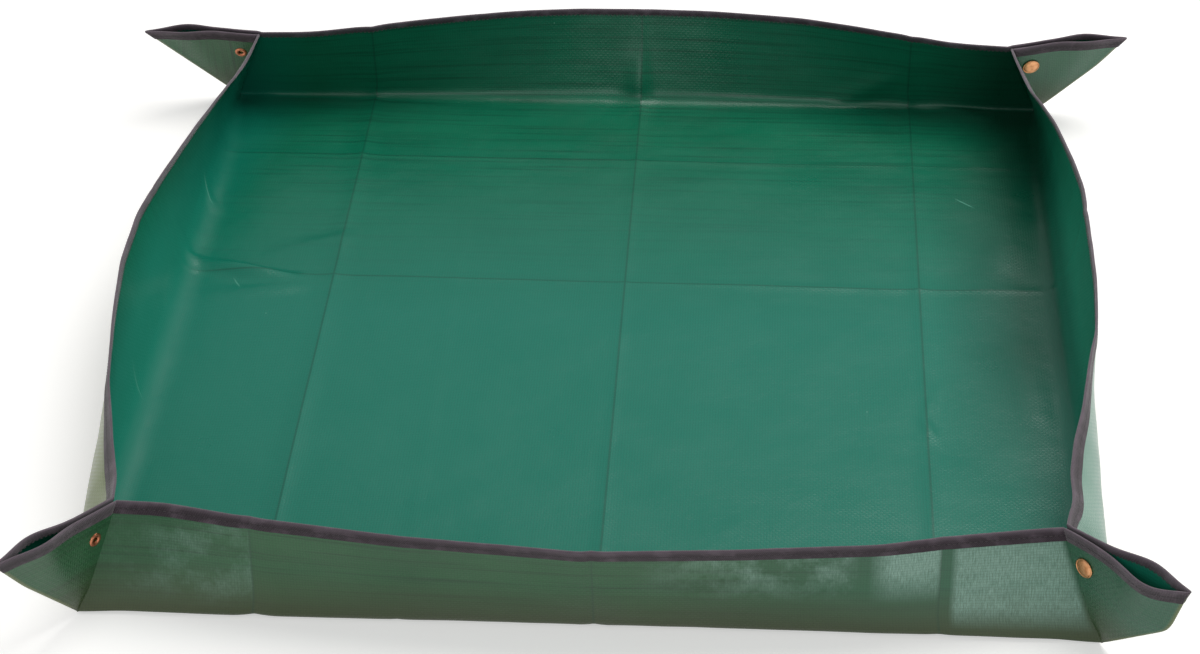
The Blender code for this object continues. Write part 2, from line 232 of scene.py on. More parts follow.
def wall_at(side, s, t, shift=0.0, rough=True):
    """A point of a wall; shift is measured from mid-thickness towards the outer face."""
    outward, along = SIDES[side]
    lean, (depth, share) = lean_at(side, s), bag_at(side, s)
    down, rise = eased(side, s, t)
    slope = (outward * sin(lean) + UP * cos(lean)) * share - along * (s * PINCH / WALL)
    inset = WALL_INSET * smoothstep(t / INSET_RISE)
    point = outward * (HALF + down) + along * (s * (HALF + down - inset))
    point += slope * rise + UP * RAISED
    point += (outward * cos(lean) - UP * sin(lean)) * (depth * sin(pi * rise / WALL))
    upright = smoothstep(0.5 + t / (2 * BEND[side]))
    tilt = lean + atan2(pi * depth / WALL * cos(pi * rise / WALL), share)
    face = (outward * cos(tilt) - UP * sin(tilt)) * upright - UP * (1 - upright)
    face.normalize()
    off = shift - (relief(*flat_at(side, s, t)) if rough else 0.0)
    return point + face * off


for side in SIDES:
    print(side, "rim's middle", [round(c, 3) for c in wall_at(side, 0, WALL)])

# %% [markdown]
# Each ear is two layers of the same cloth, folded on the corner's diagonal. A layer is laid out
# like a fan from the floor's corner: it starts at the crease beside its wall and ends at the
# diagonal fold. The two front ears stand near the diagonal, the two at the back swing sideways.
# An ear is slack as well: its layers bulge apart beyond the snap, its fold bows out, its rim sags
# or rises, and at the back the tips are drawn in.

# %% How the ears stand
FOOT = 0.40353                # the ears' pivot lies this far from the middle, in x and in y
FOOT_HEIGHT = 0.00067
SEAT = 0.0025                 # each layer's way from the ear's middle, where the snap holds it
FOLD = 0.0010                 # the same just before the fold
FOLD_SHARE = 0.03             # the layers close over this share of the way to the fold
PARTED = 0.02                 # the layers are fully apart at this height
CLOSEST = CLOTH * 0.6
SNAP_HEIGHT = 0.068
SNAP_REACH = 0.0112
CAP_RADIUS = 0.0085
FLAT_SHARE = (SNAP_REACH + CAP_RADIUS) / SNAP_HEIGHT / EAR_ANGLE
EASE = 0.0045                 # over which the crease turns into the layer
SWING = {"front_left": radians(-12), "front_right": radians(-4),
         "back_right": radians(36), "back_left": radians(45)}
BULGE = {"front_left": 0.0060, "front_right": 0.0060, "back_right": 0.0040, "back_left": 0.0040}
BULGE_PLACE = 1.7             # above 1 moves the bulge towards the tip
# How far each ear's fold bows outward, how far its tip is drawn in, and how far its rim sags
FOLD_BOW = {"front_left": 0.0025, "front_right": 0.0170, "back_right": 0.0040, "back_left": 0.0}
TIP_IN = {"front_left": 0.0, "front_right": 0.0, "back_right": 0.011, "back_left": 0.011}
RIM_SAG = {"front_left": -0.0020, "front_right": 0.0085, "back_right": -0.0055,
           "back_left": -0.0060}
BOW_PLACE = 0.64              # the bow is widest at this share of the height
BOW_ROUNDED = 0.06            # and is rounded over this share of it
SAG_PLACE = 2.4               # above 1 moves the sag towards the tip
SLACK_FROM = 0.3              # share of the way to the fold from which the layer gives
TIP_DROP = 0.4                # a tip comes down by this share of its way in
SIDE_LAYER_RISE = 0.3         # the side wall's layer rises by this share of the other's sag
# Each layer: its wall, the wall's end, the neighbour, its half of the snap, its corner, and
# whether the ear swings towards its outer face
LAYERS = (
    ("front", -1, "left", "eyelet", "front_left", -1),
    ("front", 1, "right", "cap", "front_right", -1),
    ("right", -1, "front", "eyelet", "front_right", 1),
    ("right", 1, "back", "cap", "back_right", 1),
    ("back", 1, "right", "eyelet", "back_right", -1),
    ("back", -1, "left", "cap", "back_left", -1),
    ("left", 1, "back", "eyelet", "back_left", 1),
    ("left", -1, "front", "cap", "front_left", 1),
)


def ear_frame(layer):
    """The pivot, and the ways up the crease, away from it and off the layer's outer face."""
    side, end, _, _, corner, facing = layer
    swing = facing * SWING[corner]
    outward, along = SIDES[side]
    out = (outward + along * end).normalized()
    off = (outward - along * end).normalized()
    foot = (outward + along * end) * FOOT + UP * FOOT_HEIGHT
    crease = UP * cos(CREASE_TILT) - out * sin(CREASE_TILT)
    away = UP * sin(CREASE_TILT) + out * cos(CREASE_TILT)
    return foot, crease, away * cos(swing) + off * sin(swing), off * cos(swing) - away * sin(swing)


def layer_offset(corner, share, height):
    """A layer's way from the ear's middle: level at the snap, bulging, then closed at the fold."""
    past = max(share - FLAT_SHARE, 0) / (1 - FLAT_SHARE)
    tall = height / WALL
    level = (SEAT + (FOLD - SEAT) * smoothstep(past)) * smoothstep(height / PARTED)
    level += BULGE[corner] * sin(pi * past ** BULGE_PLACE) ** 2 * tall * tall
    closing = max(share - 1 + FOLD_SHARE, 0) / FOLD_SHARE
    return max(level, CLOSEST) * sqrt(max(1 - closing * closing, 0))


def slack_at(layer, share, height):
    """The slack layer's shift in its own plane: up the crease, and away from it."""
    side, corner, tall = layer[0], layer[4], height / WALL
    gives = smoothstep((share - SLACK_FROM) / (1 - SLACK_FROM))
    spots = [tall + step * BOW_ROUNDED for step in (-1, 0, 0, 1)]
    bent = [min(max(spot, 0) / BOW_PLACE, (1 - min(spot, 1)) / (1 - BOW_PLACE)) for spot in spots]
    bow = FOLD_BOW[corner] * sum(bent) / len(bent) * gives * min(tall / BOW_ROUNDED, 1)
    sag = RIM_SAG[corner] * sin(pi * share ** SAG_PLACE) * tall ** 2
    if side in ("left", "right") and sag > 0:
        sag *= -SIDE_LAYER_RISE
    pulled = TIP_IN[corner] * gives * tall ** 2
    return -bow * sin(EAR_ANGLE) - sag - pulled * TIP_DROP, bow * cos(EAR_ANGLE) - pulled


def ear_at(layer, share, height, shift=0.0):
    """A point of a layer; beside its wall it takes the wall's place and face."""
    side, end, _, _, corner, _ = layer
    foot, crease, away, off = ear_frame(layer)
    outward, along = SIDES[side]
    down, rise = eased(side, end, height)
    base = foot + (outward + along * end) * down

    def on_layer(part):
        angle = EAR_ANGLE * part
        reach = rise / cos(angle - CREASE_TURN)
        raised, aside = slack_at(layer, part, height)
        flat = base + crease * (reach * cos(angle) + raised) + away * (reach * sin(angle) + aside)
        return flat + off * layer_offset(corner, part, height), reach * sin(angle)

    point, reach = on_layer(share)
    wall_end = wall_at(side, end, height, rough=False)
    early = 1 - smoothstep(reach / EASE)
    wall_face = outward * cos(CORNER_LEAN) - UP * sin(CORNER_LEAN)
    face = (off * (1 - early) + wall_face * early).normalized()
    return point + (wall_end - on_layer(0)[0]) * early + face * shift


def ear_flat(layer, share, height):
    outward, along = SIDES[layer[0]]
    aside = HALF + height * tan(EAR_ANGLE * share - CREASE_TURN)
    flat = outward * (HALF + height) + along * (layer[1] * aside)
    return flat.x, flat.y


def ear_name(layer):
    return layer[0] + "_wall_" + layer[2] + "_ear"


for layer in LAYERS[::2]:
    print(ear_name(layer), "tip", [round(c, 3) for c in ear_at(layer, 1, WALL)])

# %% [markdown]
# A piece of cloth starts as bmesh's own grid. Each corner of the grid is then laid where it
# belongs, and its place on the flat sheet is kept as its UV. The grid's lines stand closer
# together at the storage creases, so these stay sharp without a heavy mesh everywhere.

# %% Where the grids are cut
COARSE, FINE = 0.0125, 0.0050     # steps along a wall, as shares of its half length
FINE_REACH = 0.045
LOW_STEP = 0.0025             # step up the strip and the bend
HIGH_FROM = 0.0195            # above this the rows are spread evenly


def ticks(creases):
    """Places from -1 to 1, closer together near each crease."""
    near = [at / limit for at, _, _ in creases for limit in (HALF - PINCH, HALF)]
    places = [-1.0]
    while places[-1] < 1:
        fine = min(abs(places[-1] - at) for at in near) < FINE_REACH
        places.append(places[-1] + (FINE if fine else COARSE))
    stretch = 2 / (places[-1] + 1)
    return [(place + 1) * stretch - 1 for place in places]


TICKS_X, TICKS_Y = ticks(CREASES_X[:3]), ticks(CREASES_Y)
TICKS = {"front": TICKS_X, "back": TICKS_X, "left": TICKS_Y, "right": TICKS_Y}
ROWS = [-STRIP + LOW_STEP * n for n in range(20)] + \
    [HIGH_FROM + (WALL - HIGH_FROM) * n / 18 for n in range(1, 19)]
EAR_ROWS = [WALL * (n / 30) ** 1.3 for n in range(31)]
# Across an ear's layer: close together at the crease and at the fold
EAR_SHARES = [0.0, 0.010, 0.020, 0.031, 0.043, 0.056, 0.070] + \
    [0.07 + 0.90 * n / 34 for n in range(1, 35)] + [0.980, 0.988, 0.994, 0.998, 1.0]
print(len(TICKS_X), "by", len(TICKS_Y), "lines,", len(ROWS), "rows up a wall")

# %% [markdown]
# The grid's faces are turned as one, so that they all point into the tray. Only its own border
# counts as a sharp edge. The thickness is added later, by a modifier.

# %% A grid of cloth
def laid(name, columns, rows, place, flat, inner=None, holes=()):
    """A grid laid out by place(column, row); its faces point along inner, where that is given."""
    bm = bmesh.new()
    bmesh.ops.create_grid(bm, x_segments=len(columns) - 1, y_segments=len(rows) - 1, size=1)
    spot = {}
    for vert in bm.verts:
        column = columns[round((vert.co.x + 1) / 2 * (len(columns) - 1))]
        row = rows[round((vert.co.y + 1) / 2 * (len(rows) - 1))]
        vert.co, spot[vert] = place(column, row), flat(column, row)
    sheet = bm.loops.layers.uv.new("sheet")
    for face in bm.faces:
        for loop in face.loops:
            loop[sheet].uv = spot[loop.vert]
    for centre, radius in holes:
        near = [f for f in bm.faces if (f.calc_center_median() - centre).length < radius]
        bmesh.ops.delete(bm, geom=near, context="FACES")
    bm.normal_update()
    if inner and sum(face.normal.dot(inner) for face in bm.faces) < 0:
        bmesh.ops.reverse_faces(bm, faces=bm.faces)
    for edge in bm.edges:
        edge.smooth = not edge.is_boundary
    for face in bm.faces:
        face.smooth = True
    return finished(name, bm)


def finished(name, bm):
    mesh = bpy.data.meshes.new(name)
    bm.to_mesh(mesh)
    bm.free()
    obj = bpy.data.objects.new(name, mesh)
    bpy.context.scene.collection.objects.link(obj)
    return obj


def thicken(obj, thickness, other_slot=0):
    """Thickness to both sides; the far side and the rim take the other slot's material."""
    solid = obj.modifiers.new("Thickness", "SOLIDIFY")
    solid.thickness = thickness
    solid.offset = 0
    solid.material_offset = other_slot
    solid.material_offset_rim = other_slot


print("the cloth is", CLOTH * 1000, "mm thick")


# %% [markdown]
# The colours were judged against the photograph, as sRGB hex, which one function turns into the
# linear values that Blender works with. One small function adds a node: its plain settings come as
# words, its sockets in their own order or in a dictionary by name. A socket is given a plain
# value, another node's output, or another node, whose first output in use is taken.

# %% Helpers for materials
def linear(hex_colour):
    parts = [int(hex_colour[n:n + 2], 16) / 255 for n in (1, 3, 5)]
    return tuple(p / 12.92 if p <= 0.04045 else ((p + 0.055) / 1.055) ** 2.4 for p in parts) + (1,)


def feed(socket, value):
    if isinstance(value, bpy.types.Node):
        value = next(output for output in value.outputs if output.enabled)
    if isinstance(value, bpy.types.NodeSocket):
        socket.id_data.links.new(value, socket)
    else:
        socket.default_value = value


def add(tree, kind, *sockets, **settings):
    made = tree.nodes.new("ShaderNode" + kind)
    for key, value in settings.items():
        setattr(made, key, value)
    by_name = sockets and isinstance(sockets[0], dict)
    in_use = made.inputs if by_name else [socket for socket in made.inputs if socket.enabled]
    for key, value in (sockets[0].items() if by_name else enumerate(sockets)):
        feed(in_use[key], value)
    return made


def started(name, **sockets):
    """A material with its node tree and its shader, whose sockets are set by name."""
    made = bpy.data.materials.new(name)
    made.use_nodes = True
    shader = made.node_tree.nodes["Principled BSDF"]
    for key, value in sockets.items():
        shader.inputs[key.replace("_", " ")].default_value = value
    return made, made.node_tree, shader


print("middle grey is", [round(part, 3) for part in linear("#808080")])

# %% [markdown]
# Woven polyethylene tarpaulin is made from flat tapes about 2 mm wide, woven plain and coated on
# both faces with a clear film. To the eye that gives a green plastic gloss, broken up by the
# weave, which is clearest where the light glances off. The weave is two sets of bands, and a
# checker says which of them lies on top. Everything reads the sheet's own coordinates.

# %% The weave, and places on the sheet
TAPE_PITCH = 0.0024           # a little over the real 2 mm, so that the weave shows


def waves_per(pitch):
    """The wave texture's scale for this distance between bands, in metres."""
    return pi / 10 / pitch


def woven(tree, pitch):
    """The sheet's coordinates, and the height of a plain weave of flat tapes, from 0 to 1."""
    place = add(tree, "UVMap", uv_map="sheet").outputs[0]
    bands = [add(tree, "TexWave", {"Vector": place, "Scale": waves_per(pitch)},
                 bands_direction=axis, wave_profile="SIN").outputs["Fac"] for axis in "XY"]
    over = add(tree, "TexChecker", {"Vector": place, "Scale": 1 / pitch}).outputs["Fac"]
    return place, add(tree, "Mix", over, *bands, data_type="RGBA")


def sheet_place(tree, place):
    """The sheet's coordinates as numbers: x, y, and the two distances from the middle."""
    flat = add(tree, "SeparateXYZ", place).outputs
    away = add(tree, "SeparateXYZ", add(tree, "VectorMath", place, operation="ABSOLUTE")).outputs
    return flat[0], flat[1], away[0], away[1]


def off_line(tree, value, at):
    """How far the value is from this one, on either side."""
    return add(tree, "Math", add(tree, "Math", value, at, operation="SUBTRACT"),
               operation="ABSOLUTE")


def boxed(tree, value, *edges):
    """The value, kept only between edges given as (coordinate, where it is 0, where it is 1)."""
    for edge in edges:
        value = add(tree, "Math", value, add(tree, "MapRange", *edge), operation="MULTIPLY")
    return value


def tinted(tree, colour, *coats):
    """The colour under thin coats of other ones, each given with the share of it that covers."""
    for coat, share in coats:
        coat = linear(coat) if isinstance(coat, str) else coat
        colour = add(tree, "Mix", share, colour, coat, data_type="RGBA")
    return colour


print("weave of", TAPE_PITCH * 1000, "mm tapes")

# %% [markdown]
# Painted shade draws a thin dark line along each storage crease. Use leaves its marks in the film:
# a few pale scratches. Pale specks about a millimetre across are scattered over it.

# %% Marks in the film, and painted shade along the creases
# Scratches: place, heading, half length and half width
SCRATCHES = (
    (-0.413, 0.207, radians(-48), 0.024, 0.0011),
    (-0.424, -0.120, radians(-40), 0.022, 0.0010),
    (0.326, 0.225, radians(-42), 0.014, 0.0010),
    (-0.352, 0.060, radians(-60), 0.010, 0.0008),
)


# Painted shade: a thin dark line along each storage crease, on either face
def painted_crease_shade(tree, x, y):
    lines = 0.0
    for coordinate, creases in ((x, CREASES_X[:3]), (y, CREASES_Y)):
        for at, _, _ in creases:
            line = add(tree, "MapRange", off_line(tree, coordinate, at), 0.0016, 0.0005, 0, 0.4)
            lines = add(tree, "Math", line, lines, operation="MAXIMUM")
    return boxed(tree, lines, (x, -0.41, -0.38), (x, 0.41, 0.38))


def scratches(tree, place):
    shares = []
    for x, y, heading, length, width in SCRATCHES:
        turned = add(tree, "Mapping", {"Vector": place, "Location": (x, y, 0),
                                       "Rotation": (0, 0, heading), "Scale": (length, width, 1)},
                     vector_type="TEXTURE")
        reach = add(tree, "VectorMath", turned, operation="LENGTH")
        shares.append(add(tree, "MapRange", reach, 1.0, 0.5, 0.0, 0.6))
    return shares


def specks(tree, place):
    spots = add(tree, "TexVoronoi", {"Vector": place, "Scale": 19.0})
    return add(tree, "MapRange", spots, 0.016, 0.010, 0.0, 0.5)


print(len(SCRATCHES), "scratches")

# %% [markdown]
# The inner face is a deep green. A painted sheen makes it bluer in front and at the left, and
# paler over the left wall's base. Painted light makes it paler up the right wall, and painted
# shade makes it darker along the base of the right wall and inside the ears. Each tint is a thin
# coat, kept between edges on the sheet, so the pattern stays in place when the mat is opened.
# Both faces' tints are called alike, though only the outer one reads the weave.

# %% Tints of the inner face
def inner_tint(tree, place, weave, colour):
    x, y, from_x, from_y = sheet_place(tree, place)
    painted_sheen = add(tree, "Math", add(tree, "MapRange", y, 0.34, 0.02),
                add(tree, "MapRange", x, -0.33, -0.40, 0.0, 0.8), operation="MAXIMUM")
    ear = (HALF + 0.002, HALF + 0.030)
    return tinted(
        tree, colour,
        # Painted sheen: bluer in front and over the left wall
        ("#0B7C68", boxed(tree, painted_sheen, (x, -0.50, -0.45))),
        # Painted sheen over the left wall's base, painted shade beside the right one's, painted
        # light up the right wall
        ("#1C967C", boxed(tree, 0.5, (x, -0.395, -0.430), (x, -0.495, -0.455), (y, 0.30, 0.10))),
        # Painted shade along the right wall's base
        ("#033322", boxed(tree, 0.72, (x, 0.29, 0.37), (x, 0.445, 0.410), (y, -0.32, -0.02))),
        # Painted light up the right wall
        ("#2FAF8C", boxed(tree, 0.7, (x, 0.405, 0.450), (y, 0.42, 0.20))),
        # Painted shade inside the ears
        ("#04261E", boxed(tree, 0.35, (from_x, *ear), (from_y, *ear))),
        # Painted shade along the storage creases
        ("#03402F", painted_crease_shade(tree, x, y)),
        *[("#63AE98", share) for share in scratches(tree, place)],
        ("#7FC0A8", specks(tree, place)))


print("inner face tinted within", HALF + 0.030, "m of the middle")

# %% [markdown]
# The outer face is duller, and a painted reflection of a brown floor turns it olive towards the
# base. The two side walls carry a painted glare, sandy green on the left one and mint on the right
# one, with the painted floor reflection in sand at their bases. On the front wall painted glare
# lies over the tapes: lightly in a patch at the left, strongly at the right end, and along the top
# in between, broken into upright flecks of painted glint.

# %% Tints of the outer face
LEAN_IN = PINCH / WALL        # how fast a wall's cloth narrows towards its rim


def painted_front_glare(tree, place, weave, x, y, inside):
    """How much painted glare lies on the tapes, from 0 to 1: four patches of the front wall, times
    flecks of painted glint.
    """
    patches = add(tree, "TexNoise", {"Vector": place, "Scale": 26.0, "Detail": 4.0,
                                     "Roughness": 0.7})
    upright = add(tree, "Mapping", {"Vector": place, "Scale": (900.0, 150.0, 1.0)})
    flecks = add(tree, "TexNoise", {"Vector": upright, "Scale": 1.0, "Detail": 3.0,
                                    "Roughness": 0.7})
    glint = add(tree, "Math", add(tree, "MapRange", weave, 0.2, 0.7, 0.90, 1.0),
                add(tree, "MapRange", flecks, 0.35, 0.65, 0.55, 1.1), operation="MULTIPLY")
    lower, upper = (y, -0.414, -0.436), (y, -0.440, -0.470)
    # Each patch is painted glare on the tapes
    worn = 0.0
    for span, *edges in (
            ((0.44, 0.68, 0.04, 0.34), (x, -0.2635, -0.2655), (x, -0.395, -0.320), lower),
            ((0.25, 0.55, 0.50, 0.80), (x, 0.286, 0.292), (inside, 0.001, 0.006), lower),
            ((0.25, 0.55, 0.50, 0.90), (x, 0.222, 0.240), (x, 0.279, 0.276), upper),
            ((0.40, 0.65, 0.00, 0.60), (x, 0.04, 0.12), (x, 0.215, 0.205), upper)):
        patch = boxed(tree, add(tree, "MapRange", patches, *span), *edges)
        worn = add(tree, "Math", worn, patch, operation="MAXIMUM")
    return add(tree, "Math", worn, glint, operation="MULTIPLY")


def outer_tint(tree, place, weave, colour):
    x, y, from_x, from_y = sheet_place(tree, place)
    far, near = [add(tree, "Math", from_x, from_y, operation=way)
                 for way in ("MAXIMUM", "MINIMUM")]
    # How far inside the ears' creases, and whether on a side wall, without its ears
    crease = add(tree, "Math", far, -LEAN_IN, HALF * (1 + LEAN_IN), operation="MULTIPLY_ADD")
    inside = add(tree, "Math", crease, near, operation="SUBTRACT")
    sideways = add(tree, "Math", from_x, from_y, operation="SUBTRACT")
    on_side = boxed(tree, add(tree, "MapRange", sideways, 0.0, 0.0012), (inside, 0.0, 0.002))
    # Painted glare of the side walls: sandy green at the left, mint at the right
    painted_side_glare = tinted(tree, linear("#A9B383"), ("#9CC8B8", add(tree, "MapRange", x, -0.1, 0.1)))
    # Painted reflection of the floor: olive, and sand on the side walls
    low = tinted(tree, linear("#45502C"), ("#B5AB83", on_side))
    fold = add(tree, "Math", far, near, operation="SUBTRACT")
    return tinted(
        tree, colour,
        # Painted glare on the side walls
        (painted_side_glare, add(tree, "Math", on_side, 0.70, operation="MULTIPLY")),
        # A cooler green at the right, painted floor reflection at the base (sand on the side
        # walls, olive elsewhere), an olive line along each fold
        ("#2E6A52", boxed(tree, 0.6, (x, 0.10, 0.26), (on_side, 1, 0))),
        (low, add(tree, "MapRange", far, HALF + 0.050, HALF + 0.006, 0, 0.9)),
        ("#7C8452", boxed(tree, 0.8, (fold, 0.0040, 0.0008), (far, 0.41, 0.42))),
        # Painted shade along the storage creases
        ("#1C4A33", painted_crease_shade(tree, x, y)),
        # Painted glare on the front wall's tapes
        ("#9CC4B4", painted_front_glare(tree, place, weave, x, y, inside)))


print("a wall's cloth narrows by", round(LEAN_IN, 3), "of its height at each end")

# %% [markdown]
# Both faces are the same cloth: a cloudy green, drawn out in streaks along the tapes, with the
# gaps of the weave nearly black. Film over pigmented tape is glossy, with a thin clear coat.
# Crinkles and weave are too shallow for geometry and are given as bump, of 1.6 mm and of a tenth
# to a fifth of a millimetre.

# %% Woven tarpaulin
STREAKS = (6.0, 260.0, 1.0)   # about 40 times longer than they are wide
GAP_COLOUR = (0.002, 0.010, 0.006, 1)


def tarpaulin(name, deep, pale, tint, rough, bump_height, specular, coat):
    made, tree, shader = started(name, Specular_IOR_Level=specular, Coat_Weight=coat,
                                 Coat_Roughness=0.22)
    place, weave = woven(tree, TAPE_PITCH)
    cloudy = add(tree, "TexNoise", {"Vector": place, "Scale": 9.0, "Detail": 5.0,
                                    "Roughness": 0.6})
    drawn_out = add(tree, "Mapping", {"Vector": place, "Scale": STREAKS})
    streaks = add(tree, "TexNoise", {"Vector": drawn_out, "Scale": 1.0, "Detail": 3.0})
    darker = tinted(tree, linear(deep), ((0, 0, 0, 1), 0.40))
    colour = tinted(tree, linear(deep), (pale, add(tree, "MapRange", cloudy, 0.32, 0.68)),
                    (darker, add(tree, "MapRange", streaks, 0.48, 0.72, 0, 0.8)))
    gaps = add(tree, "MapRange", weave, 0.0, 0.35, 0.22, 0.0)
    feed(shader.inputs["Base Color"],
         tinted(tree, tint(tree, place, weave, colour), (GAP_COLOUR, gaps)))
    patchy = add(tree, "TexNoise", {"Vector": place, "Scale": 14.0, "Detail": 3.0})
    feed(shader.inputs["Roughness"],
         add(tree, "MapRange", patchy, 0.3, 0.7, rough - 0.07, rough + 0.07))
    crinkle = add(tree, "TexNoise", {"Vector": place, "Scale": 55.0, "Detail": 4.0,
                                     "Roughness": 0.55})
    crinkled = add(tree, "Bump", {"Height": crinkle, "Distance": 0.0016, "Strength": 0.35})
    feed(shader.inputs["Normal"], add(tree, "Bump", {
        "Height": weave, "Distance": bump_height, "Strength": 0.6, "Normal": crinkled}))
    return made


# The inner face is the smoother one, and the outer face has more of the clear coat
inner_face = tarpaulin("woven_polyethylene_inner_face", "#05694C", "#0A7455", inner_tint,
                       rough=0.34, bump_height=0.00012, specular=0.38, coat=0.15)
outer_face = tarpaulin("woven_polyethylene_outer_face", "#1E5C34", "#2A683C", outer_tint,
                       rough=0.38, bump_height=0.00018, specular=0.42, coat=0.25)
print(inner_face.name, "and", outer_face.name)

# %% [markdown]
# The edge is bound with a polyester twill tape, folded over and sewn. It is matt, dark plum grey,
# with fine slanting ribs. Its fuzz catches the light along the fold, and the seam draws a dark
# line. On the inside the tape reaches only half as far down as on the outside.

# %% Binding tape's material
RIB_PITCH = 0.0012
TAPE_RADIUS = 0.00085         # from the cloth's middle to the tape's middle
LEGS = (0.0046, 0.0097)       # the tape's reach down the inner and the outer face
TAPE_AROUND = sum(LEGS) + pi * TAPE_RADIUS
TAPE_FOLD = LEGS[0] + pi * TAPE_RADIUS / 2
SEAM_DOWN = 0.0052            # the seam's way down from the rim


def ribbed_tape():
    made, tree, shader = started("polyester_binding_tape", Roughness=0.85, Sheen_Weight=0.4,
                                 Sheen_Roughness=0.5, Specular_IOR_Level=0.3)
    place = add(tree, "UVMap", uv_map="sheet").outputs[0]
    turned = add(tree, "Mapping", {"Vector": place, "Rotation": (0, 0, radians(35))})
    ribs = add(tree, "TexWave", {"Vector": turned, "Scale": waves_per(RIB_PITCH),
                                 "Distortion": 0.6, "Detail Scale": 90.0}).outputs["Fac"]
    fuzz = add(tree, "TexNoise", {"Vector": place, "Scale": 900.0, "Detail": 3.0})
    worn = add(tree, "TexNoise", {"Vector": place, "Scale": 70.0, "Detail": 4.0})
    from_fold = off_line(tree, add(tree, "SeparateXYZ", place).outputs[1], TAPE_FOLD)
    from_seam = off_line(tree, from_fold, pi * TAPE_RADIUS / 2 + SEAM_DOWN)
    feed(shader.inputs["Base Color"], tinted(
        tree, linear("#2A2229"),
        ("#483C45", add(tree, "MapRange", ribs, 0.1, 0.9)),
        ("#7C6E7A", add(tree, "MapRange", worn, 0.48, 0.76, 0, 0.5)),
        ("#8C7E8A", add(tree, "MapRange", from_fold, 0.0040, 0.0010, 0, 0.35)),
        ("#221B20", add(tree, "MapRange", from_seam, 0.0011, 0.0003, 0, 0.6))))
    ribbed = add(tree, "Bump", {"Height": ribs, "Distance": 0.00022, "Strength": 0.8})
    feed(shader.inputs["Normal"], add(tree, "Bump", {
        "Height": fuzz, "Distance": 0.00015, "Strength": 0.5, "Normal": ribbed}))
    return made


tape_material = ribbed_tape()
print("tape", round(TAPE_AROUND * 1000, 1), "mm wide, ribs every", RIB_PITCH * 1000, "mm")

# %% [markdown]
# The seam is sewn with spun polyester thread, matt and charcoal, a little lighter where the twist
# turns to the light.

# %% Sewing thread's material
def spun_thread():
    made, tree, shader = started("polyester_sewing_thread", Roughness=0.6, Sheen_Weight=0.2)
    place = add(tree, "TexCoord").outputs["Object"]
    twist = add(tree, "TexNoise", {"Vector": place, "Scale": 1500.0})
    feed(shader.inputs["Base Color"], tinted(tree, linear("#2E282C"), ("#5C5259", twist)))
    return made


thread_material = spun_thread()
print(thread_material.name)

# %% [markdown]
# The snaps are pressed from sheet brass and plated. The caps have a warm copper tint and a satin
# gloss from tumbling, the eyelets are redder. Brass keeps the default index of refraction.

# %% Plated brass
def plated(name, bright, dull, rough):
    made, tree, shader = started(name, Metallic=1.0)
    place = add(tree, "TexCoord").outputs["Object"]
    stain = add(tree, "TexNoise", {"Vector": place, "Scale": 260.0, "Detail": 4.0})
    grain = add(tree, "TexNoise", {"Vector": place, "Scale": 2600.0, "Detail": 2.0})
    feed(shader.inputs["Base Color"],
         tinted(tree, linear(bright), (dull, add(tree, "MapRange", stain, 0.45, 0.75))))
    feed(shader.inputs["Roughness"],
         add(tree, "MapRange", stain, 0.3, 0.7, rough - 0.06, rough + 0.10))
    feed(shader.inputs["Normal"],
         add(tree, "Bump", {"Height": grain, "Distance": 0.00004, "Strength": 0.4}))
    return made


cap_metal = plated("copper_tinted_brass_cap", "#E0A577", "#B97B4C", 0.34)
eyelet_metal = plated("copper_plated_brass_eyelet", "#C98262", "#8C5038", 0.36)
inner_metal = plated("plain_brass_socket_and_stud", "#C8A66A", "#8F7440", 0.32)
print(cap_metal.name, eyelet_metal.name, inner_metal.name)

# %% [markdown]
# Now the cloth itself. The floor is one grid. Each wall's cloth starts on the floor and turns up
# through the base crease. Its far side takes the outer face's material from Solidify.

# %% Cloth of the floor and the walls
def cloth_materials(obj):
    obj.data.materials.append(inner_face)
    obj.data.materials.append(outer_face)
    thicken(obj, CLOTH, 1)


inside_span = HALF - STRIP


def floor_at(s, v):
    x, y = s * inside_span, v * inside_span
    return Vector((x, y, RAISED + relief(x, y)))


floor_cloth = laid("floor_cloth", TICKS_X, TICKS_Y, floor_at,
                   lambda s, v: (s * inside_span, v * inside_span), UP)
cloth_materials(floor_cloth)
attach(floor_cloth, "floor")
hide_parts("floor_panel")
wall_cloths = {}
for side, (outward, _) in SIDES.items():
    name = side + "_wall"
    obj = laid(name + "_cloth", TICKS[side], ROWS, partial(wall_at, side), partial(flat_at, side),
               UP - outward)
    cloth_materials(obj)
    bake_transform(obj)
    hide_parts(name + "_panel")
    wall_cloths[side] = obj
    print(obj.name, len(obj.data.polygons), "faces")

# %% [markdown]
# The snap sits in the flat part of each ear, a thumb's width from the crease. Its place is worked
# out here once, because the ear's cloth needs a hole there and the metal needs a seat.

# %% Places of the snaps
CLEAR = 0.0003                # between neighbouring pieces of the rigid model
RIGID_HALF = 0.00025          # half the thickness of its sheet


def snap_place(layer, outside):
    """A matrix whose Z points off the layer's outer or inner face, at that face."""
    swing = abs(SWING[layer[4]])
    foot, crease, away, off = ear_frame(layer)
    edge = SEAT + RIGID_HALF
    past_end = (CLEAR + edge * sin(swing)) / cos(swing)
    nearest = (SEAT - RIGID_HALF) * (cos(swing) - sin(swing))
    beside = (sqrt(2) * CLEAR + edge - nearest) / (cos(swing) + sin(swing))
    start = min(beside, past_end) if swing > 0 else past_end
    share = SNAP_REACH / SNAP_HEIGHT
    start *= 1 - share / EAR_ANGLE
    reach = SNAP_HEIGHT / cos(share - CREASE_TURN)
    seat = foot + crease * (reach * cos(share)) + away * (start + reach * sin(share))
    seat += off * (SEAT + (CLOTH / 2 if outside else -CLOTH / 2))
    axis = off if outside else -off
    return Matrix.Translation(seat) @ UP.rotation_difference(axis).to_matrix().to_4x4()


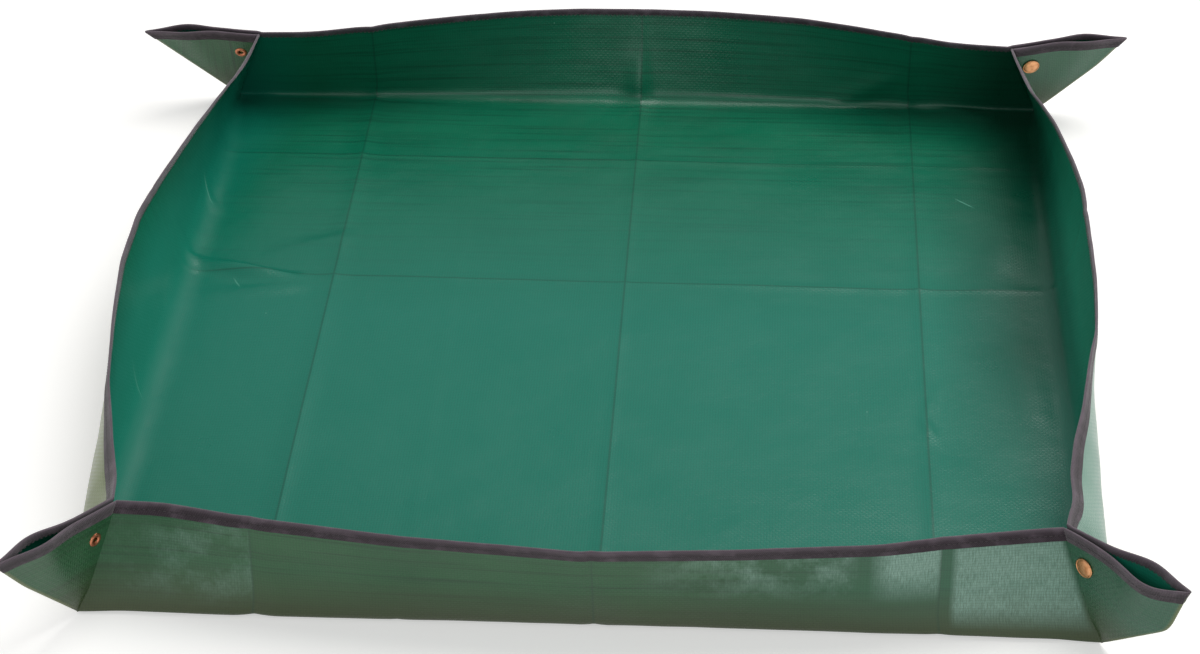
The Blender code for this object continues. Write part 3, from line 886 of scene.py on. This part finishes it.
print("first snap at", [round(c, 3) for c in snap_place(LAYERS[0], True).translation])

# %% [markdown]
# An ear's layer starts at the crease beside its wall, and turns from the wall's place into its own
# a few millimetres past the crease.

# %% Cloth of the ears
HOLES = {"eyelet": 0.0030, "cap": 0.0022}


def ear_blend(obj):
    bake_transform(obj)


ear_cloths = {}
for layer in LAYERS:
    hole = snap_place(layer, True).translation, HOLES[layer[3]]
    obj = laid(ear_name(layer) + "_cloth", EAR_SHARES, EAR_ROWS, partial(ear_at, layer),
               partial(ear_flat, layer), -ear_frame(layer)[3], [hole])
    cloth_materials(obj)
    ear_blend(obj)
    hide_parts(ear_name(layer) + "_panel")
    ear_cloths[layer] = obj
print(len(ear_cloths), "ear layers")

# %% [markdown]
# The binding tape is laid over the rim: down one face, round the edge and down the other. It runs
# straight on from the wall round the crease and along the ear to the tip, as the real one does.
# Its edges are a little wavy between the stitches, which pull it in.

# %% Binding tape
TAPE = 0.0006                 # its thickness
LEG_STEPS, TURN_STEPS = 5, 6
INNER, OUTER = [leg / TAPE_AROUND for leg in LEGS]
TURN = 1 - INNER - OUTER
ACROSS = [INNER * n / LEG_STEPS for n in range(LEG_STEPS)] + \
    [INNER + TURN * n / TURN_STEPS for n in range(TURN_STEPS + 1)] + \
    [1 - OUTER * (1 - n / LEG_STEPS) for n in range(1, LEG_STEPS + 1)]
LOOSE_EDGE = 0.003            # the tape is loose this far below its seam
PUFF, WAVE = 0.00018, 0.00025


def across_tape(v):
    """v runs from 0 to 1 across the tape: the height above the rim and the shift outward."""
    if v < INNER:
        return -LEGS[0] * (1 - v / INNER), -TAPE_RADIUS
    if v > 1 - OUTER:
        return -LEGS[1] * (1 - (1 - v) / OUTER), TAPE_RADIUS
    turn = pi * (v - INNER) / TURN
    return TAPE_RADIUS * sin(turn), -TAPE_RADIUS * cos(turn)


def tape_at(surface, flat, column, v):
    """A point of the tape on a surface, pulled in at its seams and loose at its edges."""
    height, shift = across_tape(v)
    x, y = flat(column, WALL)
    loose = noise.noise(Vector((x * 190, y * 190, 5.0 if shift > 0 else 9.0)))
    lower = max(-height - LEGS[shift > 0] + LOOSE_EDGE, 0) / LOOSE_EDGE
    puff = PUFF * max(loose, 0) * lower
    return surface(column, WALL + height + WAVE * loose * lower,
                   shift + (puff if shift > 0 else -puff))


def tape_flat(flat, column, v):
    x, y = flat(column, WALL)
    return x + y, v * TAPE_AROUND


def bind(name, columns, surface, flat):
    obj = laid(name + "_tape", columns, ACROSS, partial(tape_at, surface, flat),
               partial(tape_flat, flat))
    obj.data.materials.append(tape_material)
    thicken(obj, TAPE)
    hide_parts(name + "_binding")
    return obj


print(len(ACROSS), "lines across the tape")

# %% [markdown]
# The stitches are small capsules, one mesh copied along the seam and sunk at its ends. Each wall
# and each ear layer gets its own tape and its own row; a wall's tape and row hang from the wall's
# body.

# %% Stitches, and the tape on every rim
STITCH_PITCH, STITCH_LENGTH, STITCH_RADIUS = 0.0042, 0.0030, 0.00028
RIM_REACH = WALL + PINCH      # the length of an ear layer's rim


def stitched(name, surface, start, end, length):
    """A row of stitches on each face of the tape, from start to end of the surface."""
    one = bmesh.new()
    bmesh.ops.create_uvsphere(one, u_segments=6, v_segments=4, radius=1,
                              matrix=Matrix.Rotation(pi / 2, 4, "Y"))
    capsule = bpy.data.meshes.new("capsule")
    one.to_mesh(capsule)
    one.free()
    bm = bmesh.new()
    count = round(length / STITCH_PITCH)
    half_share = STITCH_LENGTH / length / 2 * (end - start)
    for n in range(count):
        middle = start + (end - start) * (n + 0.5) / count
        for face in (-1, 1):
            shift = face * (TAPE_RADIUS + TAPE / 2)
            a, b = [surface(middle + way * half_share, WALL - SEAM_DOWN, shift) for way in (-1, 1)]
            lie = Matrix.LocRotScale((a + b) / 2, (b - a).to_track_quat("X", "Z"),
                                     Vector(((b - a).length / 2, STITCH_RADIUS, STITCH_RADIUS)))
            copy = capsule.copy()
            copy.transform(lie)
            bm.from_mesh(copy)
            bpy.data.meshes.remove(copy)
    bpy.data.meshes.remove(capsule)
    for face in bm.faces:
        face.smooth = True
    obj = finished(name + "_stitches", bm)
    obj.data.materials.append(thread_material)
    return obj


for side, cloth in wall_cloths.items():
    name = side + "_wall"
    tape = bind(name, TICKS[side], partial(wall_at, side), partial(flat_at, side))
    row = stitched(name, partial(wall_at, side), -0.997, 0.997, 2 * limit_at(WALL))
    for obj in (tape, row):
        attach(obj, name)
for layer, cloth in ear_cloths.items():
    name = ear_name(layer)
    tape = bind(name, EAR_SHARES, partial(ear_at, layer), partial(ear_flat, layer))
    row = stitched(name, partial(ear_at, layer), 0.03, 0.93, 0.9 * RIM_REACH)
    for obj in (tape, row):
        ear_blend(obj)
print("taped and stitched")

# %% [markdown]
# A snap has four pressed pieces, all round, so each is a profile spun about its axis. One layer
# carries the domed cap, whose post holds the socket behind it. The other carries the eyelet,
# whose barrel is closed over the stud. The stud clicks into the socket past a pair of springs.

# %% The snaps' profiles
CAP_HEIGHT, CAP_EDGE, CAP_LIP = 0.0022, 0.0008, 0.0009
POST_RADIUS = 0.0015
SOCKET_RADIUS, SOCKET_BORE, SOCKET_HEIGHT, SOCKET_FLOOR = 0.0068, 0.0040, 0.0028, 0.0007
FLANGE_RADIUS, FLANGE = 0.0060, 0.0008
STUD_RADIUS, STUD_BORE, STUD_HEIGHT = 0.0035, 0.0029, 0.0015
EYELET_RADIUS, EYELET_HOLE, EYELET_RISE = 0.0060, 0.0022, 0.0010
SEATED = 0.00005              # each piece stands just clear of the cloth
AROUND = 40                   # steps round the axis


def arc(cx, cz, radius_x, radius_z, first, last, steps):
    """Points of an arc from one angle to another, in degrees, as (radius, height)."""
    angles = [radians(first + (last - first) * n / steps) for n in range(steps + 1)]
    return [(cx + radius_x * cos(a), cz + radius_z * sin(a)) for a in angles]


def cap_profile():
    """A shallow dome inside a rolled lip, as a pressed cap has, on its post."""
    inner = CAP_RADIUS - CAP_LIP
    lip = arc(CAP_RADIUS - CAP_EDGE, SEATED + CAP_EDGE, CAP_EDGE, CAP_EDGE, -90, 120, 10)
    dome = arc(0, CAP_EDGE * 1.5, inner - CAP_EDGE / 2, CAP_HEIGHT - CAP_EDGE * 1.5, 8, 90, 12)
    depth = -CLOTH - 2 * CLEAR - SOCKET_FLOOR
    return [(0, depth), (POST_RADIUS, depth), (POST_RADIUS, SEATED)] + lip + dome[:-1] + \
        [(0, CAP_HEIGHT)]


def socket_profile():
    """A ring with rounded shoulders and a floor round the post."""
    low, high, middle = SEATED, SEATED + SOCKET_HEIGHT, (SOCKET_RADIUS + SOCKET_BORE) / 2
    half = (SOCKET_RADIUS - SOCKET_BORE) / 2
    hole = POST_RADIUS + CLEAR / 3
    over = arc(middle, high - half, half, half, 0, 180, 10)
    return [(hole, low), (SOCKET_RADIUS - CLEAR, low), (SOCKET_RADIUS, low + CLEAR)] + over + \
        [(SOCKET_BORE, low + SOCKET_FLOOR + CLEAR), (SOCKET_BORE - CLEAR, low + SOCKET_FLOOR),
         (hole, low + SOCKET_FLOOR)]


def stud_profile():
    """A flange with a hollow stud, waisted a little under its rounded head."""
    low, shoulder, top = SEATED, SEATED + FLANGE, SEATED + FLANGE + STUD_HEIGHT
    head = arc(STUD_RADIUS - CLEAR, top - CLEAR, CLEAR, CLEAR, -40, 90, 5)
    return [(STUD_BORE, low), (FLANGE_RADIUS - CLEAR, low)] + \
        arc(FLANGE_RADIUS - FLANGE / 2, low + FLANGE / 2, FLANGE / 2, FLANGE / 2, -80, 90, 6) + \
        [(STUD_RADIUS + CLEAR, shoulder), (STUD_RADIUS - CLEAR, shoulder + CLEAR)] + head + \
        [(STUD_BORE, top)]


def eyelet_profile():
    """A rolled ring, with its barrel turned down through the cloth into the stud."""
    half = (EYELET_RADIUS - EYELET_HOLE) / 2
    roll = arc(EYELET_HOLE + half, SEATED, half, EYELET_RISE, 0, 180, 14)
    depth = -CLOTH - 2 * CLEAR
    barrel = EYELET_HOLE + CLEAR
    return roll + [(EYELET_HOLE, depth), (barrel, depth), (barrel, SEATED)]


print("cap", CAP_RADIUS * 2000, "mm across")

# %% [markdown]
# A profile is spun once round, its doubles are merged and its normals made to point outwards.
# Then it is seated on its layer: caps and eyelets outside, sockets and studs inside.

# %% The sixteen snap pieces
def spun(name, profile, closed, place, metal):
    bm = bmesh.new()
    verts = [bm.verts.new((radius, 0, height)) for radius, height in profile]
    pairs = list(zip(verts, verts[1:])) + ([(verts[-1], verts[0])] if closed else [])
    edges = [bm.edges.new(pair) for pair in pairs]
    bmesh.ops.spin(bm, geom=verts + edges, cent=(0, 0, 0), axis=UP, angle=2 * pi, steps=AROUND,
                   use_merge=True, use_duplicate=False)
    bmesh.ops.remove_doubles(bm, verts=bm.verts, dist=CLEAR / 100)
    bmesh.ops.recalc_face_normals(bm, faces=bm.faces)
    bmesh.ops.transform(bm, matrix=place, verts=bm.verts)
    obj = finished(name, bm)
    obj.data.shade_smooth()
    obj.data.set_sharp_from_angle(angle=radians(38))
    obj.data.materials.append(metal)
    return obj


SNAP_PIECES = {
    "cap": (("cap", cap_profile(), False, True, cap_metal),
            ("socket", socket_profile(), True, False, inner_metal)),
    "eyelet": (("eyelet", eyelet_profile(), True, True, eyelet_metal),
               ("stud", stud_profile(), True, False, inner_metal)),
}
for layer in LAYERS:
    name = ear_name(layer)
    for kind, profile, closed, outside, metal in SNAP_PIECES[layer[3]]:
        obj = spun(name + "_" + kind, profile, closed, snap_place(layer, outside), metal)
        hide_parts(name + "_snap_" + kind)
        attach(obj, name)
print(len(LAYERS) * 2, "snap pieces")

# %% [markdown]
# The stage is a plain pale floor. It shows white to the camera, and to glossy rays, wherever it
# isn't shaded. A broad soft lamp hangs high, to the back right, so that the left wall is lit and
# the back and right walls fall into shade. A weak fill stands in front, and the world gives the
# rest, at a level at which a colour renders about as it is written. The world shows white to the
# camera too, but only faintly in the gloss, so that the film isn't greyed over.

# %% Floor and lamps
FLOOR_GLOW = 0.46             # added where a ray sees the floor directly
STAGE_REACH, STAGE_DEPTH = 14, 0.0006


def seen_directly(tree, glossy=1.0):
    """1 for camera and transmission rays, and this much for glossy rays."""
    ray = add(tree, "LightPath").outputs
    mirrored = add(tree, "Math", ray["Is Glossy Ray"], glossy, operation="MULTIPLY")
    shown = add(tree, "Math", ray["Is Camera Ray"], ray["Is Transmission Ray"],
                operation="MAXIMUM")
    return add(tree, "Math", shown, mirrored, operation="MAXIMUM")


def stage_floor():
    bm = bmesh.new()
    bmesh.ops.create_grid(bm, x_segments=1, y_segments=1, size=STAGE_REACH)
    bmesh.ops.translate(bm, verts=bm.verts, vec=(0, 0, -STAGE_DEPTH))
    obj = finished("stage_floor", bm)
    made, tree, shader = started("matt_white_backdrop", Base_Color=linear("#E4E3E1"),
                                 Roughness=0.95, Specular_IOR_Level=0.1,
                                 Emission_Color=(1, 1, 1, 1))
    feed(shader.inputs["Emission Strength"],
         add(tree, "MapRange", seen_directly(tree), 0.0, 1.0, 0.0, FLOOR_GLOW))
    obj.data.materials.append(made)


def lamp(name, place, aim, size, watts, colour):
    light = bpy.data.lights.new(name, "AREA")
    light.shape = "DISK"
    light.size, light.energy, light.color = size, watts, colour
    obj = bpy.data.objects.new(name, light)
    obj.location = place
    obj.rotation_euler = (Vector(aim) - Vector(place)).to_track_quat("-Z", "Y").to_euler()
    bpy.context.scene.collection.objects.link(obj)
    print(name, "lamp of", watts, "watts")


def white_world(strength):
    world = bpy.data.worlds.new("soft_studio")
    world.use_nodes = True
    tree = world.node_tree
    background = tree.nodes["Background"].inputs
    background["Color"].default_value = (1, 1, 1, 1)
    feed(background["Strength"],
         add(tree, "MapRange", seen_directly(tree, 0.10), 0.0, 1.0, strength, 1.0))
    bpy.context.scene.world = world


stage_floor()
white_world(0.30)
lamp("key", (0.9, 0.9, 2.9), (0, 0, 0), 2.4, 68, (1.0, 0.99, 0.97))
lamp("fill", (-0.2, -3.0, 1.5), (0, 0, 0), 1.8, 14, (0.95, 0.98, 1.0))

# %% [markdown]
# The camera was fitted to the corners, creases and rims of the photograph, so its numbers are
# odd ones. It stands in front, about a metre and a half up, turned a little and rolled a little.

# %% Camera
IMAGE_WIDTH = 1200
EYE = (0.1277, -2.11, 1.4993)
FOCAL_PIXELS = 2869.0
YAW, PITCH, ROLL = radians(-3.776), radians(35.242), radians(0.754)
forward = Vector((sin(YAW) * cos(PITCH), cos(YAW) * cos(PITCH), -sin(PITCH)))
level_right = Vector((cos(YAW), -sin(YAW), 0))
level_down = forward.cross(level_right)
right = level_right * cos(ROLL) + level_down * sin(ROLL)
down = level_down * cos(ROLL) - level_right * sin(ROLL)
eye = bpy.data.objects.new("camera", bpy.data.cameras.new("camera"))
eye.data.sensor_width = 36.0
eye.data.lens = FOCAL_PIXELS / IMAGE_WIDTH * eye.data.sensor_width
eye.data.clip_end = 60
eye.matrix_world = Matrix.Translation(EYE) @ \
    Matrix((right, -down, -forward)).transposed().to_4x4()
bpy.context.scene.collection.objects.link(eye)
bpy.context.scene.camera = eye
bpy.context.scene.view_settings.view_transform = "Standard"
print("lens", round(eye.data.lens, 1), "mm")

# %% [markdown]
# At the end the scene is brought up to date.

# %% Finish
bpy.context.view_layer.update()
